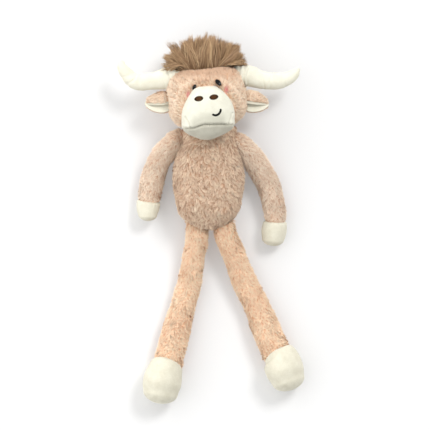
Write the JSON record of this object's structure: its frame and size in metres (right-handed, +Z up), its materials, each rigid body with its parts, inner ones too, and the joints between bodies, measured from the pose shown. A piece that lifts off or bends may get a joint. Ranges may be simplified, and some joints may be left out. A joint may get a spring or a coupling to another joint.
{
  "type": "plush highland cow",
  "caption": "Long-legged plush cow with horns, hair tuft, stitched face, stuffed arms and legs on turning seams, shown lying on its back.",
  "frame": {"origin": "on the table under the middle of the torso's back, the toy lying on its back", "axes": "+Z up out of the belly and the face, +Y towards the head, +X to the viewer's right looking down at the face"},
  "size_m": [0.2426, 0.4826, 0.1196],
  "materials": {
    "body_plush": "dusty pink short-pile plush",
    "limb_plush": "peach-pink short-pile plush",
    "cream_minky": "smooth cream minky with a fine nap",
    "hair_pile": "long brown-taupe pile",
    "brown_thread": "brown satin-stitch embroidery",
    "black_thread": "black satin-stitch embroidery",
    "eye_black": "glossy black",
    "washer_plastic": "plain moulded white",
    "stuffing": "white polyester fibre fill"
  },
  "bodies": {
    "torso": {"torso_cover": "body_plush", "torso_stuffing": "stuffing"},
    "head": {"head_cover": "body_plush", "head_stuffing": "stuffing", "muzzle_upper": "cream_minky", "muzzle_chin": "cream_minky", "muzzle_stuffing": "stuffing", "nostril_left": "brown_thread", "nostril_right": "brown_thread", "smile_stitch": "black_thread", "eye_left": "eye_black", "eye_right": "eye_black", "eye_washer_left": "washer_plastic", "eye_washer_right": "washer_plastic", "horn_cover_left": "cream_minky", "horn_cover_right": "cream_minky", "horn_stuffing_left": "stuffing", "horn_stuffing_right": "stuffing", "crown_patch": "hair_pile", "hair_tuft": "hair_pile"},
    "ear_left": {"ear_outer_left": "body_plush", "ear_lining_left": "cream_minky"},
    "ear_right": {"ear_outer_right": "body_plush", "ear_lining_right": "cream_minky"},
    "arm_left": {"arm_cover_left": "limb_plush", "arm_stuffing_left": "stuffing", "hand_hoof_left": "cream_minky"},
    "arm_right": {"arm_cover_right": "limb_plush", "arm_stuffing_right": "stuffing", "hand_hoof_right": "cream_minky"},
    "leg_left": {"leg_cover_left": "limb_plush", "leg_stuffing_left": "stuffing", "foot_hoof_left": "cream_minky"},
    "leg_right": {"leg_cover_right": "limb_plush", "leg_stuffing_right": "stuffing", "foot_hoof_right": "cream_minky"}
  },
  "joints": [
    {"name": "neck_turn", "type": "hinge", "parent": "torso", "child": "head", "pos_m": [-0.002, 0.107, 0.044], "axis": [0, 1, 0], "range_deg": [-20, 20], "stiffness_Nm_per_rad": 0.5},
    {"name": "ear_flap_left", "type": "hinge", "parent": "head", "child": "ear_left", "pos_m": [-0.0539, 0.1025, 0.044], "axis": [0, 1, 0], "range_deg": [-20, 20], "stiffness_Nm_per_rad": 0.02},
    {"name": "ear_flap_right", "type": "hinge", "parent": "head", "child": "ear_right", "pos_m": [0.0499, 0.1035, 0.044], "axis": [0, -1, 0], "range_deg": [-20, 20], "stiffness_Nm_per_rad": 0.02},
    {"name": "shoulder_left", "type": "hinge", "parent": "torso", "child": "arm_left", "pos_m": [-0.0482, 0.05, 0.036], "axis": [-1, 0, 0], "range_deg": [0, 100]},
    {"name": "shoulder_right", "type": "hinge", "parent": "torso", "child": "arm_right", "pos_m": [0.0482, 0.05, 0.036], "axis": [-1, 0, 0], "range_deg": [0, 100]},
    {"name": "hip_left", "type": "hinge", "parent": "torso", "child": "leg_left", "pos_m": [-0.0158, -0.077, 0.028], "axis": [-1, 0, 0], "range_deg": [0, 90]},
    {"name": "hip_right", "type": "hinge", "parent": "torso", "child": "leg_right", "pos_m": [0.0204, -0.077, 0.028], "axis": [-1, 0, 0], "range_deg": [0, 90]}
  ]
}
